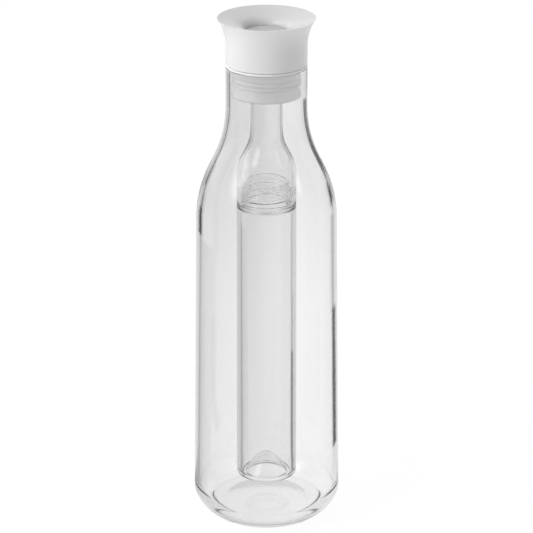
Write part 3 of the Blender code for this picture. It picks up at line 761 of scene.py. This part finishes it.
def insert_outlines(s):
    """Sleeve with its flange, and the hub that guides the stem and holds the core."""
    outer = s.sleeve_bore + s.sleeve_wall
    flange = SEAL_TOP + GAP
    sleeve = rounded([
        (outer, SLEEVE_TOP, 0.4), (outer, flange + s.flange, 0.5),
        (FLANGE_RADIUS, flange + s.flange, 0.3), (FLANGE_RADIUS, flange, 0.3),
        (outer, flange, 0.3), (outer, SLEEVE_BOTTOM, 0.5),
        (s.sleeve_bore, SLEEVE_BOTTOM, 0.5), (s.sleeve_bore, SLEEVE_TOP, 0.4)])
    hub_radius = s.hub_bore + s.hub_wall
    roof = DISC_TOP - s.throat_tube - HUB_DROP
    ceiling = roof - HUB_ROOF
    guide = s.stem_radius + GAP
    guide_outer, guide_top = guide + GUIDE_WALL, roof + GUIDE_HEIGHT
    hub = rounded([
        (guide_outer, guide_top, 0.4), (guide_outer, roof, 0.6),
        (hub_radius, roof, 0.8), (hub_radius, SLEEVE_BOTTOM, 0.3),
        (s.hub_bore, SLEEVE_BOTTOM, 0.3), (s.hub_bore, ceiling, 0.4),
        (guide, ceiling, 0.3), (guide, guide_top, 0.3)])
    return sleeve, hub, hub_radius, outer, roof


def seal_outline(s):
    """Flange on the glass lip, fins, and a skirt whose foot is drawn in."""
    floor = s.seal_bore + s.seal_body
    edge = s.seal_bore + s.seal_depth
    foot = s.seal_depth - s.seal_body
    side = edge - foot / 2
    skirt_top = SEAL_BOTTOM + s.skirt
    fins_top = skirt_top + s.fins * s.fin_pitch
    flange = SEAL_TOP - s.seal_flange
    corners = [(SEAL_RADIUS, SEAL_TOP, 0.4), (SEAL_RADIUS, flange, 0.15),
               (side, flange, 0.3), (side, fins_top + s.fin_edge / 2, 0.3)]
    for i in range(s.fins):
        top = fins_top - i * s.fin_pitch
        corners += [(floor, top, 0.3), (floor, top - s.fin_edge, 0.3),
                    (edge, top - 2 * s.fin_edge, 0.25),
                    (edge, top - 2.5 * s.fin_edge, 0.25)]
    corners += [(floor, skirt_top, 0.3), (floor, skirt_top - s.fin_edge, 0.4),
                (edge - foot / 4, SEAL_BOTTOM + 2 * foot, 0.8),
                (edge, SEAL_BOTTOM + foot, 0.6), (edge - 0.45 * foot, SEAL_BOTTOM, 0.7),
                (s.seal_bore, SEAL_BOTTOM, 0.4), (s.seal_bore, SEAL_TOP, 0.3)]
    return rounded(corners)


def disc_outline(s):
    """Dished disc with its boss and the grooved stem."""
    underside = DISC_TOP - s.disc_edge
    boss = underside - s.boss_height
    groove = s.stem_radius - CLIP_GROOVE
    dish = dome(DISC_RADIUS * 0.92, DISC_TOP, DISC_TOP - s.disc_dish, 12)
    return dish[::-1] + rounded([
        (DISC_RADIUS * 0.96, DISC_TOP), (DISC_RADIUS, DISC_TOP, 0.4),
        (DISC_RADIUS, underside, 0.25), (s.boss_radius, underside, 0.3),
        (s.boss_radius, boss, 0.5), (s.stem_radius, boss, 0.6),
        (s.stem_radius, CLIP_TOP + GAP), (groove, CLIP_TOP + GAP),
        (groove, CLIP_BOTTOM - GAP), (s.stem_radius, CLIP_BOTTOM - GAP),
        (s.stem_radius, STEM_BOTTOM, 0.35), (0.0, STEM_BOTTOM)], closed=False)


def cap_outline(s):
    """Grooved neck, shoulder, and the skirt that screws over the tube's neck."""
    ring_middle = (RING_BOTTOM + RING_TOP) / 2
    groove = s.neck_radius - RING_GROOVE
    half = (RING_TOP - RING_BOTTOM) / 2 + GAP
    bore = s.neck_radius - s.neck_wall
    skirt_bore = s.top_radius - s.cap_wall
    flare_top = CORE_TOP - s.neck_length
    flare_bottom = flare_top - s.flare_height
    outline = rounded([(bore, CORE_TOP - 1.0), (bore, CORE_TOP, 0.3),
                       (s.neck_radius, CORE_TOP, 0.4),
                       (s.neck_radius, ring_middle + half, 0.15),
                       (groove, ring_middle + half, 0.15),
                       (groove, ring_middle - half, 0.15),
                       (s.neck_radius, ring_middle - half, 0.15),
                       (s.neck_radius, flare_top + 2.0)], closed=False)
    outline += s_curve((s.neck_radius, flare_top), (s.top_radius, flare_bottom), 36)
    foot = CORE_GASKET_TOP + SEAM_GAP
    outline += rounded([(s.top_radius, foot + 1.0), (s.top_radius, foot, 0.1),
                        (skirt_bore, foot, 0.3), (skirt_bore, foot + THREAD_END)],
                       closed=False)
    inner_top = flare_bottom - s.cap_drop
    outline += straight((skirt_bore, foot + THREAD_START), (skirt_bore, inner_top - 0.1),
                        round((inner_top - foot) / THREAD_STEP))
    outline += reversed(s_curve((bore, flare_top - s.cap_drop), (skirt_bore, inner_top),
                                36))
    return outline


def tube_outline(s, neck):
    """Threaded neck, shoulder, tapered side, rounded lower edge, foot ring and kick-up."""
    foot_outer = TUBE_RADIUS - s.tube_edge
    foot_inner = foot_outer - s.foot_width
    bore = s.top_radius - s.tube_wall
    neck_bore = neck - s.tube_neck_wall
    floor = TUBE_BOTTOM + s.tube_floor
    shoulder = CORE_GASKET_BOTTOM - SEAM_GAP
    first, last = TUBE_TOP - THREAD_START, shoulder + THREAD_START

    def kick_up(radius, foot):
        """Hollow cone, steep from its foot, with a blunt tip."""
        tip = foot + s.kick_up
        blunt = 3.4
        return bezier((radius, foot), (radius * 0.7, foot + s.kick_up * 0.6), (blunt, tip),
                      (0.0, tip), 20)

    outline = rounded([(neck_bore, TUBE_TOP - THREAD_END), (neck_bore, TUBE_TOP, 0.4),
                       (neck, TUBE_TOP, 0.5), (neck, TUBE_TOP - THREAD_END)],
                      closed=False)
    outline += straight((neck, first), (neck, last), round((first - last) / THREAD_STEP))
    outline += rounded([(neck, shoulder + THREAD_END), (neck, shoulder, 0.3),
                        (s.top_radius, shoulder, 0.1), (s.top_radius, shoulder - 1.0)],
                       closed=False)
    outline += quarter((foot_outer, TUBE_BOTTOM + s.tube_edge), s.tube_edge, s.tube_edge,
                       0, -90)
    outline += kick_up(foot_inner, TUBE_BOTTOM)
    outline += reversed(kick_up(bore - s.tube_edge, floor))
    outline += quarter((bore - s.tube_edge / 2, floor + s.tube_edge / 2),
                       s.tube_edge / 2, s.tube_edge / 2, -90, 0, steps=6)
    outline += reversed(s_curve((neck_bore, shoulder - 0.5),
                                (bore, shoulder - 1.5 - s.tube_slope), 16))
    return outline


class CARAFE_OT_glass(bpy.types.Operator):
    """Make the glass bottle"""
    bl_idname = "carafe.glass"
    bl_label = "Glass"

    def execute(self, context):
        outline = glass_outline(in_mm(context.scene.carafe_glass))
        stand_for(turned("bottle", outline, blown_glass(), 128), "glass_body", "carafe")
        return {"FINISHED"}


class CARAFE_OT_collar(bpy.types.Operator):
    """Make the flared pouring collar"""
    bl_idname = "carafe.collar"
    bl_label = "Collar"

    def execute(self, context):
        outline = collar_outline(in_mm(context.scene.carafe_lid))
        stand_for(turned("collar", outline, white_abs(), 144), "pouring_collar", "lid")
        return {"FINISHED"}


class CARAFE_OT_insert(bpy.types.Operator):
    """Make the lid insert: sleeve, hub and the webs between them"""
    bl_idname = "carafe.insert"
    bl_label = "Insert"

    def execute(self, context):
        s = in_mm(context.scene.carafe_lid)
        plastic = milky_pp()
        sleeve, hub, hub_radius, outer, roof = insert_outlines(s)
        insert = plain(turned("insert", sleeve, plastic))
        inner_end = hub_radius - s.hub_wall / 2
        outer_end = outer - s.sleeve_wall / 2
        box = bmesh.new()
        bmesh.ops.create_cube(box, size=1.0)
        for vertex in box.verts:
            vertex.co.x = (inner_end + (outer_end - inner_end) * (vertex.co.x + 0.5)) * MM
            vertex.co.y *= s.spoke_thickness * MM
            vertex.co.z = (roof - s.spoke_height * (0.5 - vertex.co.z)) * MM
        radial = [edge for edge in box.edges
                  if abs(edge.verts[0].co.z - edge.verts[1].co.z) < SAME_PLACE
                  and abs(edge.verts[0].co.y - edge.verts[1].co.y) < SAME_PLACE]
        bmesh.ops.bevel(box, geom=radial, offset=0.3 * MM, segments=3, affect="EDGES")
        mesh = bpy.data.meshes.new("web")
        box.to_mesh(mesh)
        box.free()
        webs = grow(add_object("webs", mesh), tree_named("Webs", spoke_tree),
                    {"Count": s.spokes, "First Angle": math.pi / s.spokes,
                     "Material": plastic})
        tools = [plain(turned("hub", hub, plastic)), plain(webs)]
        for tool in tools:
            union = insert.modifiers.new("Join", "BOOLEAN")
            union.operation = "UNION"
            union.solver = "EXACT"
            union.object = tool
        plain(insert)
        for tool in tools:
            bpy.data.objects.remove(tool)
        stand_for(insert, "lid_insert", "lid")
        return {"FINISHED"}


class CARAFE_OT_seal(bpy.types.Operator):
    """Make the silicone seal in the neck"""
    bl_idname = "carafe.seal"
    bl_label = "Neck seal"

    def execute(self, context):
        outline = seal_outline(in_mm(context.scene.carafe_lid))
        stand_for(turned("stopper_seal", outline, silicone(), 128), "neck_seal", "lid")
        return {"FINISHED"}


class CARAFE_OT_valve(bpy.types.Operator):
    """Make the valve disc, its gasket and the clip on its stem"""
    bl_idname = "carafe.valve"
    bl_label = "Valve"

    def execute(self, context):
        s = in_mm(context.scene.carafe_lid)
        stand_for(turned("disc", disc_outline(s), grey_abs(), closed=False), "valve_disc",
                  "valve")
        gasket = ring(s.boss_radius + GAP, DISC_RADIUS, GASKET_BOTTOM, GASKET_TOP, 0.3, 0.3)
        stand_for(turned("disc_gasket", gasket, silicone()), "valve_gasket", "valve")
        clip = ring(s.stem_radius - CLIP_GROOVE + GAP, s.stem_radius + CLIP_PROUD,
                    CLIP_BOTTOM, CLIP_TOP, 0.2, 0.3)
        stand_for(turned("clip", clip, milky_pp(), 48), "stem_clip", "valve")
        return {"FINISHED"}


class CARAFE_OT_core(bpy.types.Operator):
    """Make the core's cap and tube with their screw thread"""
    bl_idname = "carafe.core"
    bl_label = "Core"

    def execute(self, context):
        s = in_mm(context.scene.carafe_core)
        plastic = clear_san()
        bore = s.top_radius - s.cap_wall
        neck = bore - s.thread_clearance - s.thread_depth
        plain_end = 1.2
        last_turn = TUBE_TOP - plain_end - s.thread_base / 2
        cap = turned("cap", cap_outline(s), plastic, 112)
        threaded(cap, bore, -s.thread_depth,
                 last_turn - s.pitch / 2 - s.female_turns * s.pitch, s.female_turns, s,
                 plastic)
        stand_for(cap, "core_cap", "lid")
        tube = turned("tube", tube_outline(s, neck), plastic, 112)
        threaded(tube, neck, s.thread_depth, last_turn - s.male_turns * s.pitch,
                 s.male_turns, s, plastic)
        stand_for(tube, "core_tube", "tube")
        return {"FINISHED"}


class CARAFE_OT_core_seals(bpy.types.Operator):
    """Make the core's plug, O-ring and gasket"""
    bl_idname = "carafe.core_seals"
    bl_label = "Core seals"

    def execute(self, context):
        s = in_mm(context.scene.carafe_core)
        middle = (RING_BOTTOM + RING_TOP) / 2
        half_wide, half_high = 0.35, (RING_TOP - RING_BOTTOM) / 2
        section = quarter((s.neck_radius - half_wide, middle), half_wide, half_high,
                          90, -255, steps=23)
        stand_for(turned("neck_o_ring", section, silicone()), "core_neck_ring", "lid")
        inner = s.neck_radius - s.neck_wall - GAP
        plug = rounded([(0.0, PLUG_TOP), (PLUG_RADIUS, PLUG_TOP, 0.4),
                        (PLUG_RADIUS, CORE_TOP + GAP, 0.3), (inner, CORE_TOP + GAP, 0.2),
                        (inner, PLUG_BOTTOM, 0.8), (0.0, PLUG_BOTTOM)], closed=False)
        stand_for(turned("plug", plug, milky_pp(), closed=False), "core_plug", "lid")
        gasket = ring(s.top_radius - s.cap_wall + GAP, s.top_radius - GAP,
                      CORE_GASKET_BOTTOM, CORE_GASKET_TOP, 0.08, 0.08)
        stand_for(turned("tube_gasket", gasket, clear_silicone()), "core_gasket",
                  "core_seal")
        return {"FINISHED"}


# Dark cards, painted dark reflections that only reflections see, which follow a circle
# round the axis: name, ends in degrees from the back, distance and height in mm of the
# lower and the upper edge, and the shares by which they darken the bottle and the core
CARDS = (
    ("right_foot", (44.0, 62.0), (60.0, 1.0), (120.0, 1.0), 0.1, 0.9),
    ("right_low", (44.0, 62.0), (120.0, 1.0), (120.0, 60.0), 0.9, 0.9),
    ("right_middle", (44.0, 62.0), (120.0, 60.0), (120.0, 99.0), 0.9, 0.45),
    ("right_high", (46.0, 57.0), (120.0, 99.0), (120.0, 178.0), 0.3, 0.25),
    ("right_end", (56.0, 66.0), (120.0, 99.0), (120.0, 170.0), 0.5, 0.4),
    ("right_shoulder", (43.0, 62.0), (120.0, 178.0), (120.0, 203.0), 0.9, 0.25),
    ("right_neck", (29.0, 50.0), (120.0, 203.0), (120.0, 234.0), 0.9, 0.35),
    ("right_lip", (20.0, 30.0), (120.0, 234.0), (120.0, 252.0), 0.8, 0.0),
    ("left_foot", (-95.0, -52.0), (60.0, 1.0), (120.0, 1.0), 0.4, 0.4),
    ("left_low", (-95.0, -52.0), (120.0, 1.0), (120.0, 150.0), 0.4, 0.4),
    ("left_patch", (-65.0, -48.0), (120.0, 150.0), (120.0, 174.0), 1.0, 0.1),
    ("left_shoulder", (-66.0, -52.0), (120.0, 174.0), (120.0, 198.0), 0.75, 0.12),
    ("left_neck", (-60.0, -46.0), (120.0, 198.0), (120.0, 230.0), 0.8, 0.12),
    ("left_lip", (-52.0, -43.0), (120.0, 230.0), (120.0, 252.0), 0.8, 0.0),
)
CARD_STEPS = 12
LAMP_AIM = Vector((0.0, 0.0, 0.2))
SKY_LIGHT = (-0.2, 0.93, 0.3)       # where the white sweep stands, from the carafe


class CARAFE_OT_stage(bpy.types.Operator):
    """Make the floor, the softboxes, the dark cards and the camera"""
    bl_idname = "carafe.stage"
    bl_label = "Stage"

    def softbox(self, stage, name, place, width, height, power):
        """Lamp with a bright middle, which glossy pieces mirror by their share."""
        lamp = bpy.data.lights.new(name, "AREA")
        lamp.shape = "RECTANGLE"
        lamp.size = width
        lamp.size_y = height
        lamp.energy = power
        lamp.use_nodes = True
        tree = lamp.node_tree
        spot = add_node(tree, "ShaderNodeNewGeometry").outputs["Parametric"]
        aside = add_node(tree, VECTOR_MATH, (spot, (0.5, 0.5, 0.0)), operation="DISTANCE")
        path = add_node(tree, "ShaderNodeLightPath").outputs
        middle = add_node(tree, MAP_RANGE, (path["Glossy Depth"], 0.0, 1.0, stage.softbox,
                                            stage.softbox * stage.highlights))
        soft = add_node(tree, MAP_RANGE, (aside.outputs["Value"], 0.1, 0.5, middle, 0.0),
                        interpolation_type="SMOOTHSTEP")
        tree.links.new(soft.outputs[0], tree.nodes["Emission"].inputs["Strength"])
        obj = add_object(name, lamp)
        obj.location = place
        obj.rotation_euler = (LAMP_AIM - Vector(place)).to_track_quat("-Z", "Y").to_euler()
        obj.visible_camera = False

    def card(self, name, ends, low, high, bottle_share, core_share):
        """Curved card between two angles, which only reflections see: a painted dark
        reflection.
        """
        points = []
        for distance, z in (low, high):
            for i in range(CARD_STEPS + 1):
                azimuth = math.radians(ends[0] + (ends[1] - ends[0]) * i / CARD_STEPS)
                points.append((distance * MM * math.sin(azimuth),
                               distance * MM * math.cos(azimuth), z * MM))
        row = CARD_STEPS + 1
        mesh = bpy.data.meshes.new(name)
        mesh.from_pydata(points, [], [(i, i + 1, row + i + 1, row + i)
                                      for i in range(CARD_STEPS)])
        mesh.materials.append(dark_card("felt_" + name, bottle_share, core_share))
        obj = add_object("card_" + name, mesh)
        obj.visible_camera = False
        obj.visible_diffuse = False
        obj.visible_shadow = False

    def sky(self, scene, stage):
        """White from behind, a dim room in front that clear pieces show brighter."""
        world = bpy.data.worlds.new("studio")
        world.use_nodes = True
        tree = world.node_tree
        toward = add_node(tree, "ShaderNodeTexCoord").outputs["Generated"]
        lit = add_node(tree, VECTOR_MATH, (toward, SKY_LIGHT), operation="DOT_PRODUCT")
        path = add_node(tree, "ShaderNodeLightPath").outputs
        bounces = add_node(tree, MATH, (path["Glossy Depth"], path["Transmission Depth"]))
        room = add_node(tree, MAP_RANGE,
                        (bounces, 0.0, 1.0, stage.room, stage.room_in_glass))
        glow = add_node(tree, MAP_RANGE,
                        (lit.outputs["Value"], -0.2, 0.7, room, stage.sweep),
                        interpolation_type="SMOOTHSTEP")
        background = tree.nodes["Background"]
        background.inputs["Color"].default_value = (1.0, 1.0, 1.0, 1.0)
        tree.links.new(glow.outputs[0], background.inputs["Strength"])
        scene.world = world

    def floor(self):
        """Round sheet of paper, just under the carafe."""
        paper = bpy.data.meshes.new("floor")
        sheet = bmesh.new()
        bmesh.ops.create_circle(sheet, cap_ends=True, segments=96, radius=FLOOR_RADIUS)
        sheet.to_mesh(paper)
        sheet.free()
        paper.transform(Matrix.Translation((0.0, 0.0, -FLOOR_DROP * MM)))
        paper.materials.append(matt_paper())
        floor = add_object("floor", paper)

    def camera(self, scene, stage):
        """Camera at the photo's angle, aimed at a point of the axis."""
        eye = bpy.data.cameras.new("camera")
        eye.lens = stage.lens
        eye.sensor_width = 36.0
        camera = add_object("camera", eye)
        camera.location = (0.0, -stage.distance * math.cos(stage.elevation),
                           stage.aim + stage.distance * math.sin(stage.elevation))
        camera.rotation_euler = (math.pi / 2 - stage.elevation, 0.0, 0.0)
        scene.camera = camera

    def execute(self, context):
        scene = context.scene
        stage = scene.carafe_stage
        self.sky(scene, stage)
        self.floor()
        self.softbox(stage, "softbox_left", (-1.0, -0.6, 0.95), 1.1, 1.4, stage.key)
        self.softbox(stage, "softbox_right", (1.3, -0.6, 0.9), 0.5, 0.9, stage.fill)
        for settings in CARDS:
            self.card(*settings)
        self.camera(scene, stage)
        scene.view_settings.view_transform = "Standard"
        # Enough for light that is mirrored inside the walls of bottle and core
        scene.cycles.max_bounces = 32
        scene.cycles.glossy_bounces = 16
        scene.cycles.transmission_bounces = 24
        return {"FINISHED"}


OPERATORS = (CARAFE_OT_glass, CARAFE_OT_collar, CARAFE_OT_insert, CARAFE_OT_seal,
             CARAFE_OT_valve, CARAFE_OT_core, CARAFE_OT_core_seals, CARAFE_OT_stage)
GROUPS = {
    "carafe_glass": CarafeGlassSizes,
    "carafe_lid": CarafeLidSizes,
    "carafe_core": CarafeCoreSizes,
    "carafe_colours": CarafeColours,
    "carafe_stage": CarafeStageSettings,
}


class CARAFE_PT_pieces(bpy.types.Panel):
    """Pieces of the carafe and the stage"""
    bl_label = "Glass carafe"
    bl_space_type = "VIEW_3D"
    bl_region_type = "UI"
    bl_category = "Carafe"

    def draw(self, context):
        for group in GROUPS:
            column = self.layout.column(align=True)
            settings = getattr(context.scene, group)
            for prop in settings.bl_rna.properties:
                if prop.identifier not in ("name", "rna_type"):
                    column.prop(settings, prop.identifier)
        for operator in OPERATORS:
            self.layout.operator(operator.bl_idname)


def register():
    for name, group in GROUPS.items():
        bpy.utils.register_class(group)
        setattr(bpy.types.Scene, name, PointerProperty(type=group))
    for cls in OPERATORS + (CARAFE_PT_pieces,):
        bpy.utils.register_class(cls)


def unregister():
    for cls in (CARAFE_PT_pieces,) + OPERATORS[::-1]:
        bpy.utils.unregister_class(cls)
    for name, group in GROUPS.items():
        delattr(bpy.types.Scene, name)
        bpy.utils.unregister_class(group)


def main():
    register()
    for operator in OPERATORS:
        getattr(bpy.ops.carafe, operator.bl_idname.split(".")[1])()


if __name__ == "__main__":
    main()
